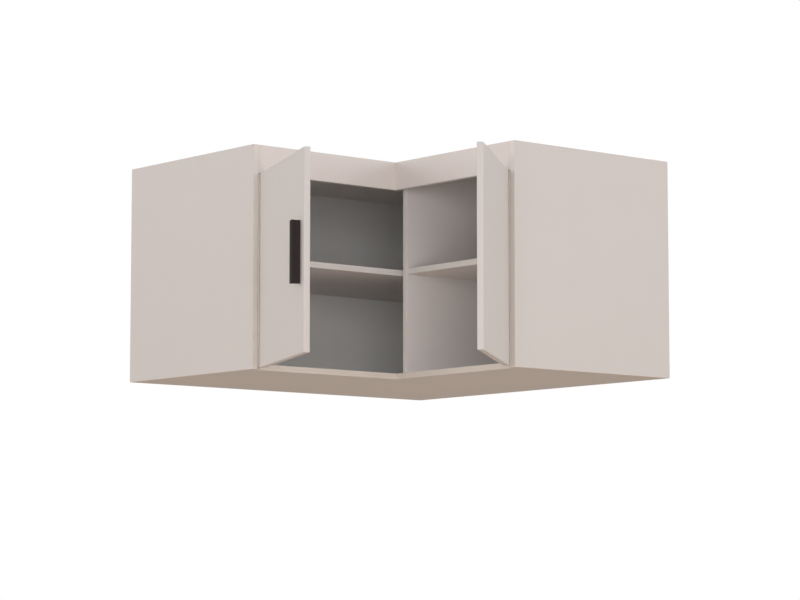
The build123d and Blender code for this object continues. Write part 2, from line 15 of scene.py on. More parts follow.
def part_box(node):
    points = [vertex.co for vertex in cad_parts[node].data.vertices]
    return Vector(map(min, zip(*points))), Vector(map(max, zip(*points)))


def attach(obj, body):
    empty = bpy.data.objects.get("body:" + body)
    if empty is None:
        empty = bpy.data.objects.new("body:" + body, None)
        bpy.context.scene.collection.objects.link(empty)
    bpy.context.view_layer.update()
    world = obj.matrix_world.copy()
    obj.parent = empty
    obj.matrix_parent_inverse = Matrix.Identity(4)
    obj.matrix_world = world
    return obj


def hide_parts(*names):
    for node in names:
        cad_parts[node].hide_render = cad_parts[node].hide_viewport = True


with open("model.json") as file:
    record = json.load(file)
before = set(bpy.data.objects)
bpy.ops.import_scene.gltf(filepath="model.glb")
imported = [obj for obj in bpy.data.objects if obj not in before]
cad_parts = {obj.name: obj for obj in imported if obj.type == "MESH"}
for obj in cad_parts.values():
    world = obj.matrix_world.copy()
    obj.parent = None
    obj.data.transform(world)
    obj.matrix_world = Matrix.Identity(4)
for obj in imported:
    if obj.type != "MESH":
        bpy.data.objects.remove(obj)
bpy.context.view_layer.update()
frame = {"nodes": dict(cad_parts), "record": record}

LOG = logging.getLogger("cabinet")
MM = 0.001
SCREEN_WHITE = 255
MERGE_DISTANCE = 0.001 * MM
FLAT_ANGLE = math.radians(0.2)
STEP_MARGIN = 1.0 * MM

Colour = tuple[float, float, float]
Direction = tuple[float, float, float]

BLACK: Colour = (0.0, 0.0, 0.0)
WHITE: Colour = (1.0, 1.0, 1.0)


class Facing(Enum):
    """Directions that a board's edges face."""

    LEFT_FRONT = (1.0, 0.0, 0.0)
    LEFT_WALL = (-1.0, 0.0, 0.0)
    RIGHT_FRONT = (0.0, -1.0, 0.0)
    RIGHT_WALL = (0.0, 1.0, 0.0)
    UP = (0.0, 0.0, 1.0)
    DOWN = (0.0, 0.0, -1.0)


def srgb(red: int, green: int, blue: int) -> Colour:
    """Linear colour of an 8-bit screen colour.

    Args:
        red: red level, 0 to 255.
        green: green level, 0 to 255.
        blue: blue level, 0 to 255.

    Returns:
        The same colour in linear light.
    """
    screen = Color([level / SCREEN_WHITE for level in (red, green, blue)])
    return tuple(screen.from_srgb_to_scene_linear())


# ---------------------------------------------------------------- node graphs


class Value:
    """A node output that takes part in arithmetic; each operator adds a Math node."""

    def __init__(self, graph: "Graph", socket: bpy.types.NodeSocket) -> None:
        """Keep the graph and the socket."""
        self.graph = graph
        self.socket = socket

    def _math(self, operation: str, first: "Number", second: "Number") -> "Value":
        """Add a Math node for two values or numbers."""
        return self.graph.add("ShaderNodeMath", {"operation": operation}, {0: first, 1: second})

    def __add__(self, other: "Number") -> "Value":
        """Sum."""
        return self._math("ADD", self, other)

    def __radd__(self, other: float) -> "Value":
        """Sum with a number first."""
        return self._math("ADD", other, self)

    def __sub__(self, other: "Number") -> "Value":
        """Difference."""
        return self._math("SUBTRACT", self, other)

    def __rsub__(self, other: float) -> "Value":
        """Difference with a number first."""
        return self._math("SUBTRACT", other, self)

    def __mul__(self, other: "Number") -> "Value":
        """Product."""
        return self._math("MULTIPLY", self, other)

    def __rmul__(self, other: float) -> "Value":
        """Product with a number first."""
        return self._math("MULTIPLY", other, self)

    def __gt__(self, other: "Number") -> "Value":
        """1 where this is the larger, else 0."""
        return self._math("GREATER_THAN", self, other)

    def __lt__(self, other: "Number") -> "Value":
        """1 where this is the smaller, else 0; it also serves a number > this."""
        return self._math("LESS_THAN", self, other)

    def either(self, other: "Number") -> "Value":
        """The larger of the two."""
        return self._math("MAXIMUM", self, other)


Number = float | Value
Input = Value | Colour | float


class MixSocket(Enum):
    """Places of the colour sockets on a Mix node, whose names repeat."""

    MASK = 0
    BASE = 6
    OVER = 7
    RESULT = 2


class Graph:
    """A node tree, built one node at a time."""

    def __init__(self, tree: bpy.types.NodeTree) -> None:
        """Keep the tree."""
        self.tree = tree

    def add(
        self,
        kind: str,
        settings: dict[str, object] | None = None,
        inputs: dict[int | str, Input] | None = None,
        output: int | str = 0,
    ) -> Value:
        """Add a node.

        Args:
            kind: the node's type.
            settings: its properties; "stops" gives a ramp's positions and colours.
            inputs: numbers, colours or values for its sockets.
            output: the socket that the result reads.

        Returns:
            The chosen output.
        """
        node = self.tree.nodes.new(kind)
        for key, setting in (settings or {}).items():
            if key == "stops":
                self._set_stops(node.color_ramp, setting)
            else:
                setattr(node, key, setting)
        for key, value in (inputs or {}).items():
            self.feed(node.inputs[key], value)
        return Value(self, node.outputs[output])

    @staticmethod
    def _set_stops(ramp: bpy.types.ColorRamp, stops: list[tuple[float, Colour]]) -> None:
        """Give a ramp its stops.

        Args:
            ramp: the ramp, which starts with two stops.
            stops: positions from 0 to 1, in rising order, each with its colour.
        """
        while len(ramp.elements) < len(stops):
            ramp.elements.new(1.0)
        for element, (place, colour) in zip(ramp.elements, stops):
            element.position = place
            element.color = (*colour, 1.0)

    def feed(self, socket: bpy.types.NodeSocket, value: Input) -> None:
        """Link a value to a socket, or set a number, colour or vector on it.

        Args:
            socket: the input socket.
            value: what it gets.
        """
        if isinstance(value, Value):
            self.tree.links.new(value.socket, socket)
        elif isinstance(value, tuple) and socket.type == "RGBA":
            socket.default_value = (*value, 1.0)
        else:
            socket.default_value = value

    def blend(self, mask: Number, base: Input, over: Input) -> Value:
        """Mix two colours.

        Args:
            mask: 0 where base shows, 1 where over does.
            base: the first colour.
            over: the second colour.

        Returns:
            The mixed colour.
        """
        inputs = {
            MixSocket.MASK.value: mask, MixSocket.BASE.value: base, MixSocket.OVER.value: over,
        }
        return self.add("ShaderNodeMix", {"data_type": "RGBA"}, inputs, MixSocket.RESULT.value)

    def seen(self) -> Value:
        """Tell the rays that see a surface from those that light things.

        Returns:
            1 for rays from the camera, in gloss and through glass, else 0.
        """
        rays = ("Is Camera Ray", "Is Glossy Ray", "Is Transmission Ray")
        camera, glossy, clear = (self.add("ShaderNodeLightPath", output=ray) for ray in rays)
        return camera.either(glossy).either(clear)


@dataclass(frozen=True)
class Grain:
    """A pattern on a piece: patches per metre, levels of detail, and stretch of its points."""

    scale: float
    detail: float = 3.0
    stretch: Direction = (1.0, 1.0, 1.0)
    falloff: float = 0.55


@dataclass(frozen=True)
class Relief:
    """A bump: how far a height of 1 stands out, in metres, and how strongly it shades."""

    depth: float
    strength: float = 1.0


@dataclass(frozen=True)
class Sheen:
    """A roughness that a pattern varies, from least by at most spread."""

    least: float
    spread: float

    def over(self, pattern: Value) -> Value:
        """The roughness over a pattern of 0 to 1."""
        return self.least + pattern * self.spread


class Surface(Graph):
    """A material's node tree, which reads Object coordinates."""

    def __init__(self, name: str) -> None:
        """Start a material with its shader.

        Args:
            name: the material's name.
        """
        self.material = bpy.data.materials.new(name)
        self.material.use_nodes = True
        super().__init__(self.material.node_tree)
        self.shader = self.tree.nodes["Principled BSDF"]
        self.position = self.add("ShaderNodeTexCoord", output="Object")

    def stretched(self, grain: Grain) -> Value:
        """The position, stretched as a grain asks."""
        inputs = {"Vector": self.position, "Scale": grain.stretch}
        return self.add("ShaderNodeMapping", None, inputs)

    def noise(self, grain: Grain) -> Value:
        """Noise over the piece.

        Args:
            grain: the noise's pattern.

        Returns:
            A height of 0 to 1.
        """
        inputs = {
            "Vector": self.stretched(grain), "Scale": grain.scale,
            "Detail": grain.detail, "Roughness": grain.falloff,
        }
        return self.add("ShaderNodeTexNoise", None, inputs)

    def cells(self, grain: Grain, output: str = "Color") -> Value:
        """Voronoi cells over the piece; output picks their colour or the distance in each."""
        inputs = {"Vector": self.stretched(grain), "Scale": grain.scale}
        return self.add("ShaderNodeTexVoronoi", None, inputs, output)

    def along(self, direction: Direction) -> Value:
        """Distance of a point along a direction, in metres."""
        inputs = {0: self.position, 1: direction}
        return self.add("ShaderNodeVectorMath", {"operation": "DOT_PRODUCT"}, inputs, "Value")

    def bump(self, height: Value, relief: Relief) -> None:
        """Feed the shader's normal.

        Args:
            height: a pattern of 0 to 1.
            relief: how it stands out.
        """
        inputs = {"Strength": relief.strength, "Distance": relief.depth, "Height": height}
        self.feed(self.shader.inputs["Normal"], self.add("ShaderNodeBump", None, inputs))

    def show_front_only(self) -> None:
        """Make the surface clear when it is looked at from behind."""
        behind = self.add("ShaderNodeNewGeometry", output="Backfacing")
        clear = self.add("ShaderNodeBsdfTransparent")
        front = Value(self, self.shader.outputs["BSDF"])
        either = self.add("ShaderNodeMixShader", None, {0: behind, 1: front, 2: clear})
        self.feed(self.tree.nodes["Material Output"].inputs["Surface"], either)

    def set(self, **sockets: Input) -> bpy.types.Material:
        """Set the shader's sockets.

        Args:
            **sockets: what each gets, with its name's spaces as underscores.

        Returns:
            The material.
        """
        for name, value in sockets.items():
            self.feed(self.shader.inputs[name.replace("_", " ")], value)
        return self.material


# ---------------------------------------------------------------- finishes


@dataclass(frozen=True)
class BandedEdge:
    """An edge of a board, by the direction it faces and how far out it lies, in metres.

    An inner corner's edge lies beyond a reach along each of two directions.
    """

    facing: Direction
    reach: float
    second: Direction | None = None
    second_reach: float = 0.0

    def beyond(self, graph: Surface, inset: float) -> Value:
        """Mask the edge.

        Args:
            graph: the material's nodes.
            inset: how deep the mask goes from the edge's face, in metres.

        Returns:
            1 within the inset, else 0.
        """
        mask = graph.along(self.facing) > self.reach - inset
        if self.second is None:
            return mask
        return mask * (graph.along(self.second) > self.second_reach - inset)


@dataclass(frozen=True)
class WoodChips:
    """Pressed wood chips, as they show where particle board is bare."""

    dark: Colour = srgb(152, 126, 94)
    middle: Colour = srgb(184, 160, 126)
    light: Colour = srgb(202, 182, 152)
    middle_from: float = 0.35
    light_from: float = 0.8
    chip: Grain = Grain(420.0, stretch=(1.0, 1.0, 2.2))
    chip_share: float = 0.7
    dust: Grain = Grain(160.0)
    dust_share: float = 0.35

    def tone(self, graph: Surface) -> Value:
        """Colour the chips.

        Args:
            graph: the material's nodes.

        Returns:
            The colour over the surface.
        """
        stops = [(0.0, self.dark), (self.middle_from, self.middle), (self.light_from, self.light)]
        grey = graph.add("ShaderNodeRGBToBW", None, {"Color": graph.cells(self.chip)})
        mottle = grey * self.chip_share + graph.noise(self.dust) * self.dust_share
        return graph.add("ShaderNodeValToRGB", {"stops": stops}, {"Fac": mottle})


@dataclass(frozen=True)
class Melamine:
    """Super-matt melamine board with edge bands and, at the wall, bare chip edges."""

    face: Colour = srgb(208, 203, 201)
    face_deep: Colour = srgb(206, 200, 198)
    cloud: Grain = Grain(7.0, 4.0)
    band: Colour = srgb(207, 201, 197)
    band_thickness: float = 1.0 * MM
    glue_line: Colour = srgb(186, 176, 164)
    line_thickness: float = 0.15 * MM
    chips: WoodChips = WoodChips()
    chip_inset: float = 0.15 * MM
    chip_roughness: float = 0.3
    sheen: Sheen = Sheen(0.52, 0.06)
    sheen_grain: Grain = Grain(90.0)
    pearl: Grain = Grain(2600.0, 2.0)
    relief: Relief = Relief(0.03 * MM, 0.35)
    ior: float = 1.47

    def make(
        self, name: str, bands: list[BandedEdge], bare: list[BandedEdge]
    ) -> bpy.types.Material:
        """Make the material of one board.

        Args:
            name: the material's name.
            bands: the edges with a glued band.
            bare: the edges that show the chips.

        Returns:
            The material.
        """
        graph = Surface(name)
        tone = graph.blend(graph.noise(self.cloud), self.face, self.face_deep)
        for edge in bands:
            on_band = edge.beyond(graph, self.band_thickness)
            on_line = edge.beyond(graph, self.band_thickness + self.line_thickness) - on_band
            tone = graph.blend(on_band, tone, self.band)
            tone = graph.blend(on_line, tone, self.glue_line)
        rough = self.sheen.over(graph.noise(self.sheen_grain))
        for edge in bare:
            on_chips = edge.beyond(graph, self.chip_inset)
            tone = graph.blend(on_chips, tone, self.chips.tone(graph))
            rough = rough + on_chips * self.chip_roughness
        graph.bump(graph.noise(self.pearl), self.relief)
        return graph.set(Base_Color=tone, Roughness=rough, IOR=self.ior)


class BoardTone(Enum):
    """Finishes of the boards, whose tones differ slightly; the rails', inner boards' and end
    bands' tones are painted light, and the corner panel's band is painted shade.
    """

    PLAIN = Melamine()
    # Painted light: the rails' face is warmer than the plain board's, standing in for warm light
    # thrown up onto them.
    RAIL = Melamine(face=srgb(211, 203, 199), face_deep=srgb(209, 200, 196))
    # Painted light: the shelves' and top panel's faces are lighter than the plain board's,
    # standing in for light that falls short inside the bays.
    INNER = Melamine(
        face=srgb(219, 213, 209), face_deep=srgb(216, 210, 206), band=srgb(203, 198, 195),
    )
    # Painted light: the end panels' front bands are lighter than their faces, lifting the shade
    # that the open doors throw on them.
    END = Melamine(band=srgb(214, 208, 202))
    # Painted shade: the bottom panel's front edges get a darker, warmer band than the plain
    # board's.
    CORNER = Melamine(band=srgb(202, 194, 187))
    DOOR = Melamine(
        face=srgb(214, 209, 207), face_deep=srgb(211, 206, 204), band=srgb(214, 209, 208),
    )


@dataclass(frozen=True)
class BackSheet:
    """Thin fibreboard, painted pale grey inside and bare brown towards the wall."""

    paint: Colour = srgb(214, 213, 211)
    paint_deep: Colour = srgb(209, 208, 206)
    cloud: Grain = Grain(14.0)
    fibre: Colour = srgb(178, 146, 110)
    fibre_dark: Colour = srgb(152, 120, 86)
    strands: Grain = Grain(520.0, 5.0, (1.0, 1.0, 0.35))
    bare_inset: float = 0.5 * MM
    sheen: Sheen = Sheen(0.6, 0.25)
    tooth: Grain = Grain(900.0)
    relief: Relief = Relief(0.06 * MM, 0.5)

    def make(self, name: str, rear: BandedEdge) -> bpy.types.Material:
        """Make the material of one back sheet.

        Args:
            name: the material's name.
            rear: the sheet's bare face.

        Returns:
            The material.
        """
        graph = Surface(name)
        paint = graph.blend(graph.noise(self.cloud), self.paint, self.paint_deep)
        bare = graph.blend(graph.noise(self.strands), self.fibre, self.fibre_dark)
        on_rear = rear.beyond(graph, self.bare_inset)
        graph.bump(graph.noise(self.tooth), self.relief)
        tone = graph.blend(on_rear, paint, bare)
        return graph.set(Base_Color=tone, Roughness=self.sheen.over(on_rear))


@dataclass(frozen=True)
class BareChipboard:
    """Uncovered particle board, with chips on every face."""

    chips: WoodChips = WoodChips()
    tooth: Grain = Grain(420.0, stretch=(1.0, 1.0, 0.6))
    relief: Relief = Relief(0.2 * MM, 0.6)
    roughness: float = 0.85

    def make(self, name: str) -> bpy.types.Material:
        """Make the material.

        Args:
            name: the material's name.

        Returns:
            The material.
        """
        graph = Surface(name)
        graph.bump(graph.cells(self.tooth, "Distance"), self.relief)
        return graph.set(Base_Color=self.chips.tone(graph), Roughness=self.roughness)


@dataclass(frozen=True)
class BeechDowel:
    """Beech with its grain along the dowel."""

    light: Colour = srgb(214, 178, 134)
    dark: Colour = srgb(184, 142, 98)
    grain: Grain = Grain(900.0, 4.0, (0.15, 0.15, 1.0))
    relief: Relief = Relief(0.1 * MM)
    roughness: float = 0.7

    def make(self, name: str) -> bpy.types.Material:
        """Make the material.

        Args:
            name: the material's name.

        Returns:
            The material.
        """
        graph = Surface(name)
        grain = graph.noise(self.grain)
        graph.bump(grain, self.relief)
        tone = graph.blend(grain, self.light, self.dark)
        return graph.set(Base_Color=tone, Roughness=self.roughness)


@dataclass(frozen=True)
class Lacquer:
    """Powder-coated or lacquered metal: a fine grain and slightly rubbed tone."""

    colour: Colour
    rubbed: Colour
    sheen: Sheen
    ior: float = 1.5
    cloud: Grain = Grain(60.0, 5.0)
    sheen_grain: Grain = Grain(240.0)
    powder: Grain = Grain(3200.0, 2.0)
    relief: Relief = Relief(0.04 * MM, 0.5)

    def make(self, name: str) -> bpy.types.Material:
        """Make the material.

        Args:
            name: the material's name.

        Returns:
            The material.
        """
        graph = Surface(name)
        tone = graph.blend(graph.noise(self.cloud), self.colour, self.rubbed)
        rough = self.sheen.over(graph.noise(self.sheen_grain))
        graph.bump(graph.noise(self.powder), self.relief)
        return graph.set(Base_Color=tone, Roughness=rough, IOR=self.ior)


@dataclass(frozen=True)
class PlatedMetal:
    """Plated metal with dull patches and a drawn or cast grain."""

    bright: Colour
    dull: Colour
    grain: Grain
    patches: Grain = Grain(120.0, 4.0)
    sheen: Sheen = Sheen(0.36, 0.18)
    relief: Relief = Relief(0.02 * MM, 0.6)

    def make(self, name: str) -> bpy.types.Material:
        """Make the material.

        Args:
            name: the material's name.

        Returns:
            The material.
        """
        graph = Surface(name)
        tone = graph.blend(graph.noise(self.patches), self.bright, self.dull)
        grain = graph.noise(self.grain)
        graph.bump(grain, self.relief)
        return graph.set(Base_Color=tone, Metallic=1.0, Roughness=self.sheen.over(grain))


@dataclass(frozen=True)
class MouldedPlastic:
    """Moulded fitting plastic with a spark-eroded surface."""

    colour: Colour = srgb(204, 196, 188)
    shade: Colour = srgb(197, 188, 179)
    cloud: Grain = Grain(80.0)
    sheen: Sheen = Sheen(0.45, 0.1)
    sheen_grain: Grain = Grain(300.0)
    sparks: Grain = Grain(2400.0, 2.0)
    relief: Relief = Relief(0.05 * MM, 0.6)

    def make(self, name: str) -> bpy.types.Material:
        """Make the material.

        Args:
            name: the material's name.

        Returns:
            The material.
        """
        graph = Surface(name)
        tone = graph.blend(graph.noise(self.cloud), self.colour, self.shade)
        graph.bump(graph.noise(self.sparks), self.relief)
        return graph.set(Base_Color=tone, Roughness=self.sheen.over(graph.noise(self.sheen_grain)))


@dataclass(frozen=True)
class SoftDot:
    """Clear soft plastic of the bumper dots, cloudy with air."""

    clear: Colour = srgb(214, 210, 204)
    cloudy: Colour = srgb(190, 186, 180)
    air: Grain = Grain(900.0)
    sheen: Sheen = Sheen(0.25, 0.1)
    sheen_grain: Grain = Grain(400.0)
    coat: float = 0.3

    def make(self, name: str) -> bpy.types.Material:
        """Make the material.

        Args:
            name: the material's name.

        Returns:
            The material.
        """
        graph = Surface(name)
        tone = graph.blend(graph.noise(self.air), self.clear, self.cloudy)
        rough = self.sheen.over(graph.noise(self.sheen_grain))
        return graph.set(Base_Color=tone, Roughness=rough, Coat_Weight=self.coat)


# ---------------------------------------------------------------- pieces


class Assembly(Protocol):
    """A group of pieces that makes or dresses itself."""

    def build(self) -> list[bpy.types.Object]:
        """Build the pieces and return them."""


def reach_of(thing: bpy.types.Object, facing: Direction) -> float:
    """How far a mesh reaches along a direction, in metres."""
    way = Vector(facing)
    return max(way.dot(vertex.co) for vertex in thing.data.vertices)


def edges_of(thing: bpy.types.Object, facings: list[Direction]) -> list[BandedEdge]:
    """A mesh's outermost edges in several directions."""
    return [BandedEdge(facing, reach_of(thing, facing)) for facing in facings]


def paint(thing: bpy.types.Object, material: bpy.types.Material) -> None:
    """Give an object one material in every slot."""
    thing.data.materials.clear()
    thing.data.materials.append(material)


def new_piece(
    name: str, mesh: bmesh.types.BMesh, material: bpy.types.Material
) -> bpy.types.Object:
    """Make an object at the origin from a bmesh, and free the bmesh.

    Args:
        name: the object's name.
        mesh: its shape.
        material: its finish.

    Returns:
        The object, linked to the scene.
    """
    data = bpy.data.meshes.new(name)
    mesh.to_mesh(data)
    mesh.free()
    thing = bpy.data.objects.new(name, data)
    bpy.context.scene.collection.objects.link(thing)
    data.materials.append(material)
    return thing


def merged_copy(cad: bpy.types.Object) -> bmesh.types.BMesh:
    """Copy a CAD node's mesh with its doubles merged and its flat faces joined.

    Args:
        cad: the node's object.

    Returns:
        The copy.
    """
    mesh = bmesh.new()
    mesh.from_mesh(cad.data)
    bmesh.ops.remove_doubles(mesh, verts=mesh.verts, dist=MERGE_DISTANCE)
    bmesh.ops.dissolve_limit(
        mesh, angle_limit=FLAT_ANGLE, verts=mesh.verts, edges=mesh.edges,
    )
    return mesh


def ease(
    mesh: bmesh.types.BMesh, edges: list[bmesh.types.BMEdge], width: float, steps: int
) -> None:
    """Round edges over and leave the mesh in triangles.

    Args:
        mesh: the mesh to change.
        edges: its edges to round.
        width: the round's width on each side of an edge, in metres.
        steps: faces across the round.
    """
    bmesh.ops.bevel(
        mesh, geom=edges, offset=width, affect="EDGES", segments=steps, profile=0.5,
        material=-1, clamp_overlap=True,
    )
    bmesh.ops.triangulate(mesh, faces=mesh.faces)


@dataclass
class Board:
    """One carcass or door board: a copy of its node with its outer edges eased."""

    node: str
    body: str
    slot: str
    finish: Melamine
    banded: list[Direction] = field(default_factory=list)
    bare: list[Direction] = field(default_factory=list)
    sides: list[Direction] = field(default_factory=lambda: [facing.value for facing in Facing])
    ease_width: float = 0.6 * MM
    ease_steps: int = 2
    near: float = 0.02 * MM

    @property
    def cad(self) -> bpy.types.Object:
        """The CAD node."""
        return frame["nodes"][self.node]

    def outer_edges(self, mesh: bmesh.types.BMesh) -> list[bmesh.types.BMEdge]:
        """Find the edges where two of the board's outer faces meet.

        Args:
            mesh: the board's merged mesh.

        Returns:
            The edges to ease.
        """
        reaches = [(Vector(side), reach_of(self.cad, side)) for side in self.sides]

        def lies_on(edge: bmesh.types.BMEdge, way: Vector, reach: float) -> bool:
            """Whether an edge lies on the outer face at a reach along a way."""
            return all(abs(way.dot(vertex.co) - reach) < self.near for vertex in edge.verts)

        return [
            edge for edge in mesh.edges
            if sum(lies_on(edge, way, reach) for way, reach in reaches) >= 2
        ]

    def bands(self) -> list[BandedEdge]:
        """The board's edges with a glued band."""
        return edges_of(self.cad, self.banded)

    def build(self) -> list[bpy.types.Object]:
        """Copy, ease, paint and register the board.

        Returns:
            The board.
        """
        mesh = merged_copy(self.cad)
        ease(mesh, self.outer_edges(mesh), self.ease_width, self.ease_steps)
        bare = edges_of(self.cad, self.bare)
        finish = self.finish.make(f"{self.node}_board", self.bands(), bare)
        board = new_piece(f"{self.node}_eased", mesh, finish)
        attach(board, self.body)
        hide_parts(self.node)
        return [board]


@dataclass
class CornerPanel(Board):
    """An L-shaped panel, whose two front edges meet in an inner corner."""

    shortest: float = 20.0 * MM

    def corner(self) -> float:
        """Find the inner corner.

        Returns:
            Its distance from both walls, in metres.
        """
        front, second = Vector(Facing.LEFT_FRONT.value), Vector(Facing.RIGHT_FRONT.value)
        spots = [vertex.co for vertex in self.cad.data.vertices]
        end = max(front.dot(spot) for spot in spots) - STEP_MARGIN
        return max(second.dot(spot) for spot in spots if front.dot(spot) > end)

    def outer_edges(self, mesh: bmesh.types.BMesh) -> list[bmesh.types.BMEdge]:
        """Find the long level edges of the two front faces.

        Args:
            mesh: the panel's merged mesh.

        Returns:
            The edges to ease.
        """
        corner = self.corner()
        front, second = Vector(Facing.LEFT_FRONT.value), Vector(Facing.RIGHT_FRONT.value)

        def on_front(edge: bmesh.types.BMEdge) -> bool:
            """Tell whether an edge lies on a front face and runs along it.

            Args:
                edge: an edge of the mesh.

            Returns:
                True for an edge to ease.
            """
            ways = [[way.dot(spot.co) - corner for spot in edge.verts] for way in (front, second)]
            outside = all(gap > -self.near for gaps in ways for gap in gaps)
            flush = any(all(abs(gap) < self.near for gap in gaps) for gaps in ways)
            return outside and flush and edge.calc_length() > self.shortest

        return [edge for edge in mesh.edges if on_front(edge)]

    def bands(self) -> list[BandedEdge]:
        """The band of the inner corner."""
        corner = self.corner()
        return [BandedEdge(Facing.LEFT_FRONT.value, corner, Facing.RIGHT_FRONT.value, corner)]


@dataclass
class CornerShelf(Board):
    """The corner bay's shelf, which reaches further forward beside the divider."""

    def bands(self) -> list[BandedEdge]:
        """Find the shelf's front edge, from its far end to the step.

        Returns:
            The edge's band.
        """
        front, second = Facing.LEFT_FRONT.value, Facing.RIGHT_FRONT.value
        spots = [
            (Vector(front).dot(vertex.co), Vector(second).dot(vertex.co))
            for vertex in self.cad.data.vertices
        ]
        far_end = max(across for _, across in spots) - STEP_MARGIN
        edge = max(out for out, across in spots if across > far_end)
        step = max(across for out, across in spots if out > edge + STEP_MARGIN)
        return [BandedEdge(front, edge, second, step)]


@dataclass
class Carcass:
    """The fixed boards, back sheets and post."""

    body: str = "cabinet"
    slot: str = "carcass_board"
    back_sheet: BackSheet = BackSheet()
    post: BareChipboard = BareChipboard()

    def boards(self) -> list[Board]:
        """List every carcass board with its banded and bare edges.

        Returns:
            The boards, not built yet.
        """
        front_left, front_right = Facing.LEFT_FRONT.value, Facing.RIGHT_FRONT.value
        wall_left, wall_right = Facing.LEFT_WALL.value, Facing.RIGHT_WALL.value
        up, down = Facing.UP.value, Facing.DOWN.value
        walls = [wall_left, wall_right]
        rows = [
            (Board, "left_end_panel", BoardTone.END, [front_left, down], [wall_left, up]),
            (Board, "right_end_panel", BoardTone.END, [front_right, down], [wall_right, up]),
            (Board, "left_front_rail", BoardTone.RAIL, [down], [up]),
            (Board, "right_front_rail", BoardTone.RAIL, [down], [up]),
            (Board, "divider_panel", BoardTone.PLAIN, [front_right], []),
            (Board, "right_shelf", BoardTone.INNER, [front_right], []),
            (CornerShelf, "corner_shelf", BoardTone.INNER, [], []),
            (CornerPanel, "bottom_panel", BoardTone.CORNER, [], walls),
            (CornerPanel, "top_panel", BoardTone.INNER, [], walls),
        ]
        return [
            kind(node, self.body, self.slot, tone.value, banded, bare)
            for kind, node, tone, banded, bare in rows
        ]

    def dress_backs(self) -> list[bpy.types.Object]:
        """Paint the back sheets and the post.

        Returns:
            The painted nodes.
        """
        rows = [("left_back_panel", Facing.LEFT_WALL), ("right_back_panel", Facing.RIGHT_WALL)]
        sheets = []
        for node, wall in rows:
            sheet = frame["nodes"][node]
            rear = BandedEdge(wall.value, reach_of(sheet, wall.value))
            paint(sheet, self.back_sheet.make(f"{node}_sheet", rear))
            sheets.append(sheet)
        post = frame["nodes"]["rear_corner_post"]
        paint(post, self.post.make("bare_chipboard"))
        return [*sheets, post]

    def build(self) -> list[bpy.types.Object]:
        """Build and dress the carcass.

        Returns:
            The boards, back sheets and post.
        """
        boards = [piece for board in self.boards() for piece in board.build()]
        return boards + self.dress_backs()


@dataclass
class Door:
    """A door board, turned to its rest angle, with bands on all four edges.

    closed_angle is the closed door's angle from +X in degrees, and turn is 1 where it opens
    counterclockwise and -1 where it opens clockwise.
    """

    side: str
    closed_angle: float
    turn: int
    slot: str = "door_board"

    @property
    def body(self) -> str:
        """The body that the door belongs to."""
        return f"{self.side}_door_leaf"

    def rest_angle(self) -> float:
        """Read how far the door stands open.

        Returns:
            Angle of the door's length from +X at rest, in radians.
        """
        joints = frame["record"]["behaviour"]["joints"]
        hinge = next(joint for joint in joints if joint["name"] == f"{self.side}_door_hinge")
        opening = -hinge["range_deg"][0]
        return math.radians(self.closed_angle + self.turn * opening)

    def along(self) -> Direction:
        """The way from the hinge to the door's free edge."""
        angle = self.rest_angle()
        return (math.cos(angle), math.sin(angle), 0.0)

    def outwards(self) -> Direction:
        """The way that the door's outer face looks."""
        along = self.along()
        return (-self.turn * along[1], self.turn * along[0], 0.0)

    def build(self) -> list[bpy.types.Object]:
        """Build the door's board.

        Returns:
            The board.
        """
        along, out = self.along(), self.outwards()
        back, inwards = (tuple(-part for part in way) for way in (along, out))
        up, down = Facing.UP.value, Facing.DOWN.value
        banded = [along, back, up, down]
        sides = [along, out, back, inwards, up, down]
        finish = BoardTone.DOOR.value
        board = Board(f"{self.side}_door", self.body, self.slot, finish, banded, sides=sides)
        return board.build()


@dataclass
class BarHandle:
    """The black T-section bar on a door: a web on the door with a wider head."""

    door: Door
    node: str = "left_handle"
    slot: str = "handle_black"
    finish: Lacquer = Lacquer(srgb(52, 48, 46), srgb(56, 52, 50), Sheen(0.6, 0.1), ior=1.12)
    ease_width: float = 1.0 * MM
    ease_steps: int = 3
    seat: float = 0.5 * MM

    def section(self) -> list[Vector]:
        """Read the T off the CAD bar.

        Returns:
            The T's corners in order, at the height of the bar's lower end.
        """
        along, out = Vector(self.door.along()), Vector(self.door.outwards())
        points = [vertex.co for vertex in frame["nodes"][self.node].data.vertices]
        spots = [(along.dot(point), out.dot(point)) for point in points]
        foot, face = min(spot[1] for spot in spots), max(spot[1] for spot in spots)
        left, right = min(spot[0] for spot in spots), max(spot[0] for spot in spots)
        web = [spot[0] for spot in spots if spot[1] < foot + self.seat]
        near, far = min(web), max(web)
        step = min(spot[1] for spot in spots if spot[0] < near - self.seat)
        corners = [
            (near, foot), (far, foot), (far, step), (right, step),
            (right, face), (left, face), (left, step), (near, step),
        ]
        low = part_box(self.node)[0].z
        return [along * across + out * depth + Vector((0, 0, low)) for across, depth in corners]

    def build(self) -> list[bpy.types.Object]:
        """Extrude the section, ease its edges and hang it on the door.

        Returns:
            The bar.
        """
        mesh = bmesh.new()
        outline = mesh.faces.new([mesh.verts.new(corner) for corner in self.section()])
        low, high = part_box(self.node)
        grown = bmesh.ops.extrude_face_region(mesh, geom=[outline], use_keep_orig=True)
        raised = [item for item in grown["geom"] if isinstance(item, bmesh.types.BMVert)]
        bmesh.ops.translate(mesh, verts=raised, vec=(0, 0, high.z - low.z))
        bmesh.ops.recalc_face_normals(mesh, faces=mesh.faces)
        ease(mesh, list(mesh.edges), self.ease_width, self.ease_steps)
        bar = new_piece(f"{self.node}_bar", mesh, self.finish.make("black_lacquer"))
        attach(bar, self.door.body)
        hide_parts(self.node)
        return [bar]


